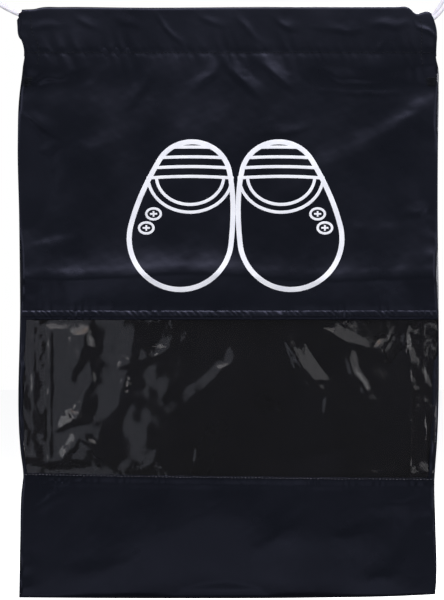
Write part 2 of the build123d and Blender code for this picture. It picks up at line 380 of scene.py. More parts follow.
def on_wall(wall, u, z, lift=0.0, relief=None):
    """Points on a wall's outer face, or lift mm above it."""
    x = place_x(u, z)
    if wall == FRONT:
        x = x + CORNER_TUCK * bell(z + 8, 9) * step(-u, 0.95, 1)
    folds = (relief or RELIEF[wall])(u, x, z)
    calm = step((1 - np.abs(u)) * HALF, 0, 3) * step(z - BOTTOM, 0, 4)
    smooth_half = form(u, z)
    least = np.minimum(0.8 * smooth_half, 2.5)
    half = np.maximum(smooth_half + folds * np.where(z > -SLIT_END, 1, calm), least) + lift
    ends = TOP_LINE(x) * step(z, -34, -2) + BOTTOM_LINE(x) * step(-z, 392, -BOTTOM)
    return np.stack([x, wall * np.maximum(half, LEAST_HALF), z + ends], -1)


def sunk(points, depth):
    """The inner face of a ply: depth nearer the mid plane, and not through it."""
    inner = points.copy()
    inner[..., 1] = np.sign(inner[..., 1]) * np.maximum(np.abs(inner[..., 1]) - depth, 0.04)
    return inner


# ---- meshes
def slab(outer, inner):
    """A closed thin shell between two faces, each (rows, columns, 3)."""
    rows, columns = outer.shape[:2]
    count = rows * columns
    i = np.arange(count).reshape(rows, columns)
    face = np.stack([i[:-1, :-1], i[1:, :-1], i[1:, 1:], i[:-1, 1:]], -1).reshape(-1, 4)
    rim = np.concatenate([i[0, :-1], i[:-1, -1], i[-1, :0:-1], i[:0:-1, 0]])
    after = np.roll(rim, -1)
    edge = np.stack([rim, after, after + count, rim + count], -1)
    points = np.concatenate([outer.reshape(-1, 3), inner.reshape(-1, 3)])
    return points, np.concatenate([face, face[:, ::-1] + count, edge]).tolist()


def tube(line, radius, sides=6, relief=None):
    """A closed tube along a line; relief(angle, distance) scales its radius."""
    line = np.asarray(line, float)
    tangent = np.gradient(line, axis=0)
    tangent /= np.linalg.norm(tangent, axis=1)[:, None]
    distance = run_along(line)
    radius = np.broadcast_to(radius, len(line))
    normal = np.cross(tangent[0], (0.13, 0.2, 0.97))
    angle = np.linspace(0, 2 * math.pi, sides, endpoint=False)
    rings = []
    for point, along, r, s in zip(line, tangent, radius, distance):
        normal = unit(normal - along * (normal @ along))
        other = np.cross(along, normal)
        size = r * (relief(angle, s) if relief else np.ones(sides))
        ring = np.outer(np.cos(angle) * size, normal) + np.outer(np.sin(angle) * size, other)
        rings.append(point + ring)
    points = np.concatenate([*rings, line[:1], line[-1:]])
    i = np.arange(len(line) * sides).reshape(-1, sides)
    after = np.roll(i, -1, axis=1)
    wall = np.stack([i[:-1], after[:-1], after[1:], i[1:]], -1).reshape(-1, 4).tolist()
    start, end = len(points) - 2, len(points) - 1
    caps = [(after[0, k], i[0, k], start) for k in range(sides)]
    caps += [(i[-1, k], after[-1, k], end) for k in range(sides)]
    return points, wall + [tuple(int(v) for v in c) for c in caps]


def volume(points, faces):
    total = 0.0
    for group in (3, 4):
        f = np.array([q for q in faces if len(q) == group])
        for k in range(1, group - 1) if len(f) else ():
            a, b, c = points[f[:, 0]], points[f[:, k]], points[f[:, k + 1]]
            total += (a * np.cross(b, c)).sum()
    return total


SHARP_ANGLE = 50  # edges that turn by more degrees aren't shaded smooth


def build(name, shells, look):
    """One object from closed shells in mm, faces outwards; look is (slot, material), and its
    slot is not used.
    """
    points, faces, count = [], [], 0
    for shell_points, shell_faces in shells:
        turn = -1 if volume(shell_points, shell_faces) < 0 else 1
        faces += [[v + count for v in f[::turn]] for f in shell_faces]
        points.append(shell_points)
        count += len(shell_points)
    mesh = bpy.data.meshes.new(name)
    mesh.from_pydata((np.concatenate(points) * MM).tolist(), [], faces)
    mesh.shade_smooth()
    mesh.set_sharp_from_angle(angle=math.radians(SHARP_ANGLE))
    slot, surface = look
    mesh.materials.append(surface)
    piece = add_object(name, mesh)
    return piece


def gather(piece, end, word, node_name):
    """Bakes the piece's placement into its mesh and hides its CAD node."""
    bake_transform(piece)
    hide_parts(node_name)


def fixed(piece, node_name):
    """Cloth and sewing that keep their place in the bag."""
    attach(piece, BODY)
    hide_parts(node_name)


def halves(pitch):
    """Each half of the width as u values, from the middle to the side edge."""
    count = int(HALF / pitch) + 1
    for end, word in SIDES:
        yield end, word, np.linspace(0, 1, count) * end


# ---- materials
def material(name, colour, roughness, **inputs):
    """A principled material, its node tree and its shader."""
    made = bpy.data.materials.new(name)
    made.use_nodes = True
    shader = made.node_tree.nodes["Principled BSDF"]
    shader.inputs["Base Color"].default_value = (*colour, 1)
    shader.inputs["Roughness"].default_value = roughness
    for key, value in inputs.items():
        shader.inputs[key.replace("_", " ")].default_value = value
    return made, made.node_tree, shader


def node(tree, kind, **settings):
    """A new node, with settings for its inputs or its own properties."""
    made = tree.nodes.new(kind)
    for key, value in settings.items():
        if key.replace("_", " ") in made.inputs:
            made.inputs[key.replace("_", " ")].default_value = value
        else:
            setattr(made, key, value)
    return made


def link(source, target):
    source.id_data.links.new(source, target)


def object_noise(tree, scale, detail=3.0, stretch=(1, 1, 1)):
    place = node(tree, "ShaderNodeTexCoord")
    shift = node(tree, "ShaderNodeMapping", Scale=stretch)
    noise = node(tree, "ShaderNodeTexNoise", Scale=scale, Detail=detail)
    link(place.outputs["Object"], shift.inputs["Vector"])
    link(shift.outputs["Vector"], noise.inputs["Vector"])
    return noise.outputs["Fac"]


def spread(tree, value, low, high):
    """Maps a 0.3 to 0.7 noise onto a wanted span."""
    span = node(tree, "ShaderNodeMapRange", From_Min=0.3, From_Max=0.7,
                To_Min=low, To_Max=high)
    link(value, span.inputs["Value"])
    return span.outputs["Result"]


def tint(tree, shader, noise, dark, light):
    """Base colour between dark and light, by a noise of (scale, detail)."""
    mix = node(tree, "ShaderNodeMix", data_type="RGBA")
    link(spread(tree, object_noise(tree, *noise), 0, 1), mix.inputs["Factor"])
    for key, colour in (("A", dark), ("B", light)):
        socket = next(s for s in mix.inputs if s.name == key and s.type == "RGBA")
        socket.default_value = (*colour, 1)
    result = next(s for s in mix.outputs if s.type == "RGBA")
    link(result, shader.inputs["Base Color"])


def uneven_gloss(tree, shader, noise, low, high):
    rough = spread(tree, object_noise(tree, *noise), low, high)
    link(rough, shader.inputs["Roughness"])


def bump(tree, shader, layers):
    """Height layers, each (value, strength, distance in metres), one on the other."""
    before = None
    for value, strength, distance in layers:
        relief = node(tree, "ShaderNodeBump", Strength=strength, Distance=distance)
        link(value, relief.inputs["Height"])
        if before:
            link(before, relief.inputs["Normal"])
        before = relief.outputs["Normal"]
    link(before, shader.inputs["Normal"])


WAVE_UNIT = 0.314  # period in metres of a wave texture of scale 1


def weave(tree, period):
    """Plain weave: threads across and along, a period apart in metres."""
    place = node(tree, "ShaderNodeTexCoord")
    waves_out = []
    for axis in ("X", "Z"):
        wave = node(tree, "ShaderNodeTexWave", bands_direction=axis,
                    Scale=WAVE_UNIT / period, Distortion=0.4, Detail=0.0)
        link(place.outputs["Object"], wave.inputs["Vector"])
        waves_out.append(wave.outputs["Fac"])
    both = node(tree, "ShaderNodeMath", operation="MULTIPLY")
    link(waves_out[0], both.inputs[0])
    link(waves_out[1], both.inputs[1])
    return both.outputs["Value"]


def nylon_material(name, dark, light, roughness):
    made, tree, shader = material(
        name, dark, roughness, Sheen_Weight=0.02, Sheen_Roughness=0.35,
        Sheen_Tint=(0.62, 0.60, 0.95, 1), Specular_IOR_Level=0.40,
        Specular_Tint=(0.66, 0.68, 1.0, 1))
    tint(tree, shader, (14.0, 5.0), dark, light)
    uneven_gloss(tree, shader, (22.0, 4.0), roughness - 0.07, roughness + 0.07)
    bump(tree, shader, [
        (object_noise(tree, 60.0, 5.0), 0.22, 0.0005),
        (object_noise(tree, 260.0, 3.0), 0.3, 0.00014),
        (weave(tree, 0.0007), 0.25, 0.00005),
    ])
    return made


def film_material():
    made, tree, shader = material("clear_vinyl", (0.80, 0.77, 0.76), 0.07,
                                  Transmission_Weight=1.0, IOR=1.46,
                                  Specular_IOR_Level=0.6)
    uneven_gloss(tree, shader, (35.0, 5.0), 0.04, 0.13)
    bump(tree, shader, [
        (object_noise(tree, 45.0, 5.0), 0.5, 0.0012),
        (object_noise(tree, 170.0, 3.0), 0.35, 0.00026),
    ])
    return made


def thread_material(name, colour, light):
    made, tree, shader = material(name, colour, 0.6, Sheen_Weight=0.02,
                                  Specular_IOR_Level=0.15)
    tint(tree, shader, (900.0, 2.0), colour, light)
    bump(tree, shader, [(object_noise(tree, 2500.0, 2.0, (3, 1, 1)), 0.6, 0.0001)])
    return made


def cord_material_with_painted_glow():
    # Its emission is a painted glow: it lightens the cord's shaded underside, though the cord
    # is no lamp.
    made, tree, shader = material(
        "white_cord", (0.80, 0.80, 0.84), 0.75, Sheen_Weight=0.25, Subsurface_Weight=0.1,
        Subsurface_Scale=0.001, Emission_Color=(0.95, 0.93, 1.0, 1), Emission_Strength=0.32)
    tint(tree, shader, (500.0, 3.0), (0.46, 0.45, 0.52), (0.60, 0.59, 0.66))
    bump(tree, shader, [(object_noise(tree, 2600.0, 3.0), 0.5, 0.0002)])
    return made


def ink_material_with_painted_glow():
    # Its emission is a painted glow that makes the ink brighter than the lights make it.
    made, tree, shader = material("white_ink", (0.84, 0.86, 0.93), 0.6,
                                  Emission_Color=(0.93, 0.94, 1.0, 1),
                                  Emission_Strength=0.15)
    tint(tree, shader, (90.0, 6.0), (0.76, 0.78, 0.86), (0.90, 0.92, 0.97))
    bump(tree, shader, [(object_noise(tree, 420.0, 4.0), 0.35, 0.00015)])
    return made


# Looks: slot and material
NYLON = "dark_nylon", nylon_material("dark_nylon", (0.0045, 0.0055, 0.0080),
                                     (0.0062, 0.0074, 0.0110), 0.32)
INNER_NYLON = "dark_nylon", nylon_material("inner_nylon", (0.006, 0.006, 0.009),
                                           (0.010, 0.010, 0.014), 0.6)
VINYL = "clear_vinyl", film_material()
DARK_THREAD = "dark_thread", thread_material("dark_thread", (0.005, 0.006, 0.009),
                                             (0.011, 0.013, 0.018))
PALE_THREAD = "pale_thread", thread_material("pale_thread", (0.05, 0.05, 0.06),
                                             (0.22, 0.22, 0.25))
OVERLOCK = "dark_thread", thread_material("overlock_thread", (0.015, 0.015, 0.019),
                                          (0.05, 0.05, 0.06))
CORD = "white_cord", cord_material_with_painted_glow()
INK = "white_ink", ink_material_with_painted_glow()

# ---- drawcords
# The routes of the two cords, from knot to knot: out of the knot, over the edge of the
# exit, along the front casing, round the far corner and back through the back casing.
CORD_D = 3.0
LEFT_ROUTE = [
    (-170.0, -1.5, 5.9), (-149.0, -5.6, -8.4), (-127, -5.6, -6.8),
    (130.8, -5.6, -6.8), (142, -5.6, -6.8), (142, 5.6, -6.8), (130.8, 5.6, -6.8),
    (-127, 5.6, -6.8), (-148.5, 5.6, -6.8), (-169.0, 1.5, 7.8),
]
RIGHT_ROUTE = [
    (160.0, -1.5, 10.6), (149.3, -5.6, -11.6), (127, -5.6, -10.6),
    (-130.8, -5.6, -10.6), (-142, -5.6, -10.6), (-142, 5.6, -10.6), (-130.8, 5.6, -10.6),
    (127, 5.6, -10.6), (147.6, 5.6, -9.8), (157.4, 1.5, 11.6),
]
BRAID_LENGTH = 6.5  # one turn of a strand round the cord
CORD_RING = 0.6  # distance between the mesh's rings
CORD_SIDES = 16
KNOT_CORD_R = 1.45
TAIL_R = 1.42


def nurbs_line(name, route):
    """Points along the smooth curve that has the route's points as control points."""
    data = bpy.data.curves.new(name, "CURVE")
    data.dimensions = "3D"
    data.resolution_u = 40
    spline = data.splines.new("NURBS")
    spline.points.add(len(route) - 1)
    for point, place in zip(spline.points, route):
        point.co = (*[c * MM for c in place], 1)
    spline.order_u = 3
    spline.use_endpoint_u = True
    holder = add_object(name, data)
    mesh = bpy.data.meshes.new_from_object(holder)
    line = np.array([v.co for v in mesh.vertices]) / MM
    bpy.data.objects.remove(holder)
    bpy.data.meshes.remove(mesh)
    return line


def braid(angle, distance):
    """The radius of a braid of four strands each way, against a round cord's."""
    turn = 2 * math.pi * distance / BRAID_LENGTH
    return 0.94 + 0.09 * np.maximum(np.sin(4 * angle + turn), np.sin(4 * angle - turn))


def knot_shells(centre, away):
    """An overhand knot of the doubled cord, its two tails and their sealed tips."""
    along = unit(np.array(away))
    across = unit(np.cross(along, (0, 1, 0)))
    third = np.cross(along, across)
    t = np.linspace(0, 2 * math.pi, 120)
    ring = 2.25 + 1.15 * np.cos(3 * t)
    loop = (np.outer(ring * np.cos(2 * t), across) + np.outer(ring * np.sin(2 * t), third)
            + np.outer(1.5 * np.sin(3 * t), along))
    shells = [tube(np.array(centre) + loop, KNOT_CORD_R, CORD_SIDES, braid)]
    for spread_out, reach, curl in ((-1, 13.0, 0.6), (1, 11.5, -0.4)):
        s = np.linspace(0, 1, 40)
        side = spread_out * (1.2 + 2.6 * s**1.4)
        tail = (np.outer(1.0 + reach * s, along) + np.outer(side, (0, 1, 0))
                + np.outer(curl * np.sin(2.4 * s), across))
        size = TAIL_R * np.where(s > 0.93, 0.86, 1) * np.where(s > 0.975, 0.8, 1)
        shells.append(tube(np.array(centre) + tail, size, CORD_SIDES, braid))
    return shells


def drawcord(word, route, knot_centre, away):
    """A cord along its route, with its knot, riding together."""
    line = evenly(nurbs_line(f"{word}_route", route), CORD_RING)
    cord = build(f"{word}_drawcord_braid", [tube(line, CORD_D / 2, CORD_SIDES, braid)],
                 CORD)
    knot = build(f"{word}_cord_knot_overhand", knot_shells(knot_centre, away), CORD)
    for piece in (cord, knot):
        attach(piece, f"{word}_drawcord")
    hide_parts(f"{word}_drawcord")
    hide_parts(f"{word}_cord_knot")


drawcord("left", LEFT_ROUTE, (-173.0, 0, 9.6), (-0.80, 0, 0.60))
drawcord("right", RIGHT_ROUTE, (160.5, 0, 14.8), (0.42, 0, 0.91))

# ---- cloth walls
FINE = 1.5  # mesh pitch of the front cloth
PLAIN = 2.0  # and of the back's
FILM_PITCH = 1.2
FILM_END = 0.992  # the film's side edges, as u
SEW_END = 0.985  # where rows of stitches and allowances end, as u
GATHER_PITCH = 4.7  # between the slanting gathers of a hem
FOLD_RISE = 1.5  # how far the top fold stands above its outer face's first row
OVER = (90, 75, 60, 45, 30, 15)  # degrees over the fold, outside
UNDER = (84, 97, 110, 125, 140, 155, 170, 180)  # and of the part inside the mouth
UNDER_GAP = 0.08  # between the fold's outer part and the part inside the mouth
FOLD_FLOOR = -4.75  # where the top edge dips, the fold lies flat over the cord
PLY = 0.3  # thickness of the casing's inner ply


def levels(top, bottom, pitch):
    """Heights from top to bottom, about a pitch apart."""
    return np.linspace(top, bottom, int((top - bottom) / pitch) + 1)


def fold_rows(wall, u, angles, depth=0.0):
    """Rows over the top fold, from the outer face (0 degrees) to the inner one (180)."""
    top = on_wall(wall, u, np.full_like(u, -FOLD_RISE))
    outer = np.abs(top[:, 1])
    radius = (outer - CASING_INNER) / 2
    turn = np.radians(np.array(angles, float))[:, None]
    y = outer - radius + (radius - depth) * np.cos(turn)
    z = top[:, 2] + (FOLD_RISE - depth) * np.sin(turn)
    return np.stack([np.broadcast_to(top[:, 0], y.shape), wall * y, z], -1)


def cloth_wall(name, node_name, wall, bottom, pitch):
    """A wall's cloth in two halves, one each side of the centre line."""
    z = levels(-FOLD_RISE, bottom, pitch)
    for end, word, u in halves(pitch):
        face = on_wall(wall, *np.meshgrid(u, z))
        outer = np.concatenate([fold_rows(wall, u, OVER), face])
        inner = np.concatenate([fold_rows(wall, u, OVER, CLOTH), sunk(face, CLOTH)])
        piece = build(f"{name}_{word}", [slab(outer, inner)], NYLON)
        gather(piece, end, word, node_name)


cloth_wall("front_upper_cloth", "front_upper_panel", FRONT, PANEL_END, FINE)
cloth_wall("back_cloth", "back_panel", BACK, BOTTOM, PLAIN)


def tilted(points):
    """The same points, moved with the slant of the window's lower seam."""
    depth = -points[..., 2]
    above, below = step(depth, 300, 334), 1 - step(depth, 345, 400)
    points[..., 2] += WINDOW_TILT * points[..., 0] * above * below
    return points


def whole_strip(top, bottom, pitch, lift, relief=None, half_u=1.0):
    """A strip of the front from side to side."""
    u = np.linspace(-half_u, half_u, 2 * int(HALF / pitch) + 1)
    uu, zz = np.meshgrid(u, levels(top, bottom, pitch))
    return tilted(on_wall(FRONT, uu, zz, lift, relief))


lower = whole_strip(LOWER_START + 2, BOTTOM, FINE, 0.0)
lower_cloth = build("front_lower_cloth", [slab(lower, sunk(lower, CLOTH))], NYLON)
fixed(lower_cloth, "front_lower_panel")

# The film lies behind the front cloth, and comes up towards the lower seam.
film_rows = levels(PANEL_END, LOWER_START, FILM_PITCH)[:, None]
film_lift = -0.75 + 0.35 * step(WINDOW_BOTTOM + 12 - film_rows, 0, 12)
film_face = whole_strip(PANEL_END, LOWER_START, FILM_PITCH, film_lift, film_relief, FILM_END)
film = build("window_vinyl", [slab(film_face, sunk(film_face, FILM))], VINYL)
fixed(film, "window_film")


def hem_band(word, top, bottom, rise, slant, depth, tuck):
    """A folded cloth edge over the film, with slanting gathers from its stitches.

    It rises by rise above the cloth and is tucked in by tuck at its edges; its gathers
    are depth high and lean by slant.
    """
    u = np.linspace(-0.998, 0.998, 520)
    t = (1 - np.cos(np.linspace(0, math.pi, 15))) / 2
    uu, tt = np.meshgrid(u, t)
    zz = top + (bottom - top) * tt
    x = place_x(uu, zz)
    dome = np.sqrt(np.maximum(1 - (2 * tt - 1) ** 4, 0))
    twist = ripples(91, x + slant * (zz - top), GATHER_PITCH) * depth * dome
    twist += 0.5 * depth * waves(93, x, zz, 9.0) * dome
    lift = rise * dome + twist - tuck * (1 - dome)
    face = tilted(on_wall(FRONT, uu, zz, lift))
    band = build(f"window_{word}_band", [slab(face, sunk(face, CLOTH + rise * 0.5))], NYLON)
    fixed(band, f"window_{word}_hem")


hem_band("top", PANEL_END + 0.8, WINDOW_TOP, 0.45, 0.9, 0.17, 0.5)
hem_band("bottom", WINDOW_BOTTOM, LOWER_START - 1.0, 0.05, 0.3, 0.03, 0.06)


def side_roll(word, end, top, widths, fall):
    """The side seam's turned cloth edge, which shows beside the film.

    The widths are those at the window's top and bottom; its outer edge is fall lower.
    """
    z = levels(top, WINDOW_BOTTOM - 1, 1.5)[:, None]
    across = np.linspace(0, 1, 8)
    width = np.interp(-z, (-WINDOW_TOP, -WINDOW_BOTTOM), widths)
    width = width + 0.25 * waves(171 + end, z, 0 * z, 24.0, 5)
    width = width * step(top + 1 - z, 0, 9)
    lift = 0.25 - fall * (1 - across) - 0.4 * step(across, 0.75, 1)
    face = tilted(on_wall(FRONT, end * (1 - width * across / HALF), z + 0 * across, lift))
    roll = build(f"{word}_side_roll", [slab(face, sunk(face, 0.3))], NYLON)
    fixed(roll, f"{word}_seam_allowance")


# The left edge is wider at the top; the right one only shows lower down, and slopes.
side_roll("left", LEFT, WINDOW_TOP + 8, (4.4, 2.8), 0.2)
side_roll("right", RIGHT, WINDOW_TOP - 24, (4.8, 4.8), 1.7)


# ---- casings
def inner_ply(wall, u):
    """From the fold down inside the mouth, and across to the stitch line."""
    outer = form(u, np.full_like(u, CASING_LINE)) - CLOTH - 0.35
    z = levels(-2.0, CASING_LINE - 3.0, 1.6)[:, None] + 0 * u
    reach = step(-z, 14, -CASING_LINE - 2)
    x = place_x(u, z)
    wave = 0.22 * ripples(101 + wall, x, 13.0) * step(-z, 3, 12)
    half = CASING_INNER + (outer - CASING_INNER) * reach + wave
    return np.stack([x, wall * half, z + TOP_LINE(x) * step(z, -34, -2)], -1)


def ply_slab(points, thickness):
    """A shell that gives a curved strip its thickness along its own normals."""
    normal = np.cross(np.gradient(points, axis=1), np.gradient(points, axis=0))
    normal /= np.maximum(np.linalg.norm(normal, axis=-1), 1e-9)[..., None]
    return slab(points, points - normal * thickness)


for wall, wall_word in WALLS:
    for end, word in SIDES:
        u = np.linspace(0, FOLD_HALF / HALF, 96) * end
        faces = []
        for depth in (UNDER_GAP, UNDER_GAP + PLY):
            face = fold_rows(wall, u, UNDER, depth)
            face[..., 2] = np.maximum(face[..., 2], FOLD_FLOOR - depth)
            faces.append(face)
        shells = [slab(*faces)]
        u = np.linspace(0, INNER_PLY_HALF / HALF, 90) * end
        shells.append(ply_slab(inner_ply(wall, u), PLY * wall * end))
        piece = build(f"{wall_word}_casing_fold_{word}", shells, NYLON)
        gather(piece, end, word, f"{wall_word}_casing")

# ---- seams inside the bag
OVERLOCK_R = 0.2
# A loop of overlock thread round an edge: (from the edge, across it, along it)
SIDE_LOOP = ((4.2, -0.55, 0), (1.5, -0.75, 0.5), (-0.4, 0, 1.0), (1.5, 0.75, 1.6),
             (4.2, 0.55, 2.2))
BOTTOM_LOOP = ((-3.5, -0.55, 0), (-1.4, -0.75, 0.6), (0.3, 0, 1.1), (-1.4, 0.75, 1.7),
               (-3.5, 0.55, 2.3))


def seam_wave(end, z):
    """How far a side allowance's free edge waves."""
    return 0.45 * ripples(111 + end, z, 19.0)


for end, word in SIDES:
    across = np.linspace(ALLOWANCE_LOW[0] / HALF, SEW_END, 10) * end
    uu, zz = np.meshgrid(across, levels(ALLOWANCE_HIGH[2], ALLOWANCE_LOW[2], 2.0))
    free = 1 - np.abs(uu - across[0]) / abs(across[-1] - across[0])
    face = np.stack([place_x(uu, zz), 0.35 + free * seam_wave(end, zz), zz], -1)
    strip = build(f"{word}_seam_plies", [slab(face, face - (0, 0.7, 0))], INNER_NYLON)
    gather(strip, end, word, f"{word}_seam_allowance")
    loops = []
    edge = ALLOWANCE_LOW[0]
    for z in np.arange(ALLOWANCE_LOW[2] + 2, ALLOWANCE_HIGH[2] - 2, 2.4):
        lift = seam_wave(end, np.array([z]))[0]
        over = [(end * (edge + off), lift + y, z + run) for off, y, run in SIDE_LOOP]
        loops.append(tube(over, OVERLOCK_R, 5))
    overlock = build(f"{word}_overlock_thread", loops, OVERLOCK)
    gather(overlock, end, word, f"{word}_seam_stitches")

uu, zz = np.meshgrid(np.linspace(-SEW_END, SEW_END, 150),
                     levels(BOTTOM_SEAM_TOP, BOTTOM + 1.5, 1.5))
wavy = 0.25 * ripples(121, uu * HALF, 23.0) * step(zz, BOTTOM, BOTTOM_SEAM_TOP)
face = np.stack([place_x(uu, zz), wavy + 0.3, zz], -1)
plies = build("bottom_seam_plies", [slab(face, face - (0, 0.6, 0))], INNER_NYLON)
fixed(plies, "bottom_seam_allowance")
loops = []
for x in np.arange(-144, 144, 2.6):
    over = [(x + run, y, BOTTOM_SEAM_TOP + off) for off, y, run in BOTTOM_LOOP]
    loops.append(tube(over, OVERLOCK_R, 5))
fixed(build("bottom_overlock_thread", loops, OVERLOCK), "bottom_seam_stitches")

# ---- stitches
# Kinds of stitch: pitch, length, radius of the thread, and how proud it stands
CASING_STITCH = (3.0, 2.3, 0.24, 0.22)
HEM_STITCH = (2.9, 2.1, 0.24, 0.25)
PALE_STITCH = (2.5, 1.25, 0.22, 0.28)
EXIT_STITCH = (2.9, 2.2, 0.24, 0.22)
TACK_STITCH = (0.65, 9.0, 0.26, 0.35)


def stitch(centre, direction, wall, kind, size=1.0):
    """One lock stitch: a short thread that dips into the cloth at both ends."""
    _, length, radius, proud = kind
    s = np.linspace(-1, 1, 7)[:, None]
    lift = np.array([0, wall, 0]) * (proud * (1 - s**2) - radius * 0.5)
    line = centre + direction * s * (length * size) / 2 + lift
    return tube(line, radius * np.sqrt(1 - 0.7 * s[:, 0] ** 4), 6)


def stitch_row(wall, u_from, u_to, line_z, kind, lift, seed):
    """Stitches along a wall at height line_z, unevenly by a little."""
    random = np.random.default_rng(seed)
    shells = []
    for u in np.arange(u_from, u_to, kind[0] / HALF):
        z = line_z + random.normal(0, 0.10)
        near = np.array([u - 0.001, u + 0.001])
        ends = tilted(on_wall(wall, near, np.array([z, z]), lift))
        direction = unit(ends[1] - ends[0]) + (0, 0, random.normal(0, 0.05))
        size = random.uniform(0.9, 1.08)
        shells.append(stitch(ends.mean(0), direction, wall, kind, size))
    return shells


for wall, wall_word in WALLS:
    for end, word in SIDES:
        span = sorted((0.004 * end, SEW_END * end))
        rows = stitch_row(wall, *span, CASING_LINE, CASING_STITCH, 0.0, 131 + wall)
        thread = build(f"{wall_word}_casing_thread_{word}", rows, DARK_THREAD)
        gather(thread, end, word, f"{wall_word}_casing_stitches")

for word, line_z, kind, lift, seed, look in (
    ("top", (PANEL_END + WINDOW_TOP) / 2, HEM_STITCH, 0.85, 141, DARK_THREAD),
    ("bottom", WINDOW_BOTTOM - 1.0, PALE_STITCH, 0.30, 151, PALE_THREAD),
):
    rows = stitch_row(FRONT, -SEW_END, SEW_END, line_z, kind, lift, seed)
    fixed(build(f"window_{word}_thread", rows, look), f"window_{word}_stitches")

# ---- cord exits
# An exit's turned edge, from the inside round to the outside: (u, height above the cloth)
EXIT_TURN = ((1 - 11 / HALF, -0.72), (1 - 4 / HALF, -0.70), (0.997, -0.60), (1.002, -0.28),
             (1.0015, 0.02), (0.998, 0.22), (1 - 1.2 / HALF, 0.24))
EXIT_PLY = 0.2
EXIT_ROW = 10.6  # the exit's row of stitches, in from the edge
TACK_ROW = 5.8  # and the middle of its bartack
TACK_COUNT = 9


def exit_edge(wall, end):
    z = levels(SLIT_HEM[1][2] + 1.0, SLIT_HEM[0][2] - 3.0, 1.5)
    turn_u, turn_lift = np.array(EXIT_TURN).T
    uu, zz = np.meshgrid(turn_u * end, z)
    on_cloth = np.clip(uu, -1, 1)
    face = on_wall(wall, on_cloth, zz, turn_lift + 0 * zz)
    face[..., 0] += (uu - on_cloth) * HALF
    return ply_slab(face, EXIT_PLY * wall * end)


def exit_stitches(wall, end, random):
    """A row of stitches along the exit, and the bartack below it."""
    def sew(inset, z, direction, kind):
        u = np.array([end * (1 - inset / HALF)])
        centre = on_wall(wall, u, np.array([z]))[0]
        return stitch(centre, np.array(direction), wall, kind)

    for z in np.arange(-6.0, -SLIT_END + 4, -EXIT_STITCH[0]):
        yield sew(EXIT_ROW, z, (0, 0, 1.0), EXIT_STITCH)
    for k in range(TACK_COUNT):
        z = BARTACK_BOTTOM + TACK_STITCH[0] * k + random.normal(0, 0.05)
        yield sew(TACK_ROW + 0.5 * (k % 2), z, (1.0, 0, 0.08), TACK_STITCH)


for end, word in SIDES:
    for wall, wall_word in WALLS:
        hem = build(f"{word}_{wall_word}_exit_edge", [exit_edge(wall, end)], NYLON)
        gather(hem, end, word, f"{word}_{wall_word}_exit_hem")
    random = np.random.default_rng(161 + end)
    rows = [*exit_stitches(FRONT, end, random), *exit_stitches(BACK, end, random)]
    tack = build(f"{word}_exit_thread", rows, DARK_THREAD)
    gather(tack, end, word, f"{word}_bartack")

# ---- printed shoes
PRINT_CENTRE = 5.0
PRINT_TOP, PRINT_BOTTOM = -95.0, -204.0
BOLD, LINE = 3.6, 2.2
HEEL_R, TOE_R = 27.0, 36.5
HEEL_OUT, TOE_OUT = 31.0, 39.5
ROUND = 0.95  # how far the heel's round is pressed in
RIM_Z = -121.5
RIMS = ((30.0, 25.5), (24.0, 20.0))  # half width and depth of the opening's rims
BARS = ((5.5, 14.5), (12.5, 21.5), (19.5, 26.0), (26.5, 29.5))  # drop, half width
BUTTONS = ((58.6, -148.2), (63.8, -158.2))
BUTTON_R = 5.2
BUTTON_LINE, CROSS_LINE = 1.7, 1.3
CROSS = ((2.6, 0), (0, 2.0))  # half lengths of the two strokes on a button


def arc(centre, radius, start, end, count=60, squash=1.0):
    """Points (x, z) on an arc between two angles in degrees."""
    angle = np.radians(np.linspace(start, end, count))
    return np.stack([centre[0] + radius * np.cos(angle),
                     centre[1] + radius * squash * np.sin(angle)], -1)


def joined(first, second, count=40):
    """A smooth line from the end of first to the start of second, tangent to both."""
    a, b = first[-1], second[0]
    run = np.linalg.norm(b - a)
    start = unit(first[-1] - first[-2]) * run
    stop = unit(second[1] - second[0]) * run
    s = np.linspace(0, 1, count)[1:-1, None]
    return ((2 * s**3 - 3 * s**2 + 1) * a + (s**3 - 2 * s**2 + s) * start
            + (3 * s**2 - 2 * s**3) * b + (s**3 - s**2) * stop)


def ribbon(path, width, layer):
    """A printed stroke, as thin ink on the cloth, along a line of (x, z)."""
    path = evenly(path, 0.9, 2)
    tangent = np.gradient(path, axis=0)
    if np.allclose(path[0], path[-1]):
        tangent[0] = tangent[-1] = (path[1] - path[-2]) / 2
    tangent /= np.linalg.norm(tangent, axis=1)[:, None]
    normal = np.stack([-tangent[:, 1], tangent[:, 0]], -1)
    columns, heights = (-0.5, -0.3, 0, 0.3, 0.5), (0.02, 0.07, 0.07, 0.07, 0.02)
    outer = []
    for side, height in zip(columns, heights):
        x, z = (path + normal * side * width).T
        u = x / (HALF - np.where(x < 0, LEFT_EDGE(z), RIGHT_EDGE(z)))
        outer.append(on_wall(FRONT, u, z, height + layer))
    outer = np.stack(outer, 1)
    return slab(outer, sunk(outer, 0.12 + layer))


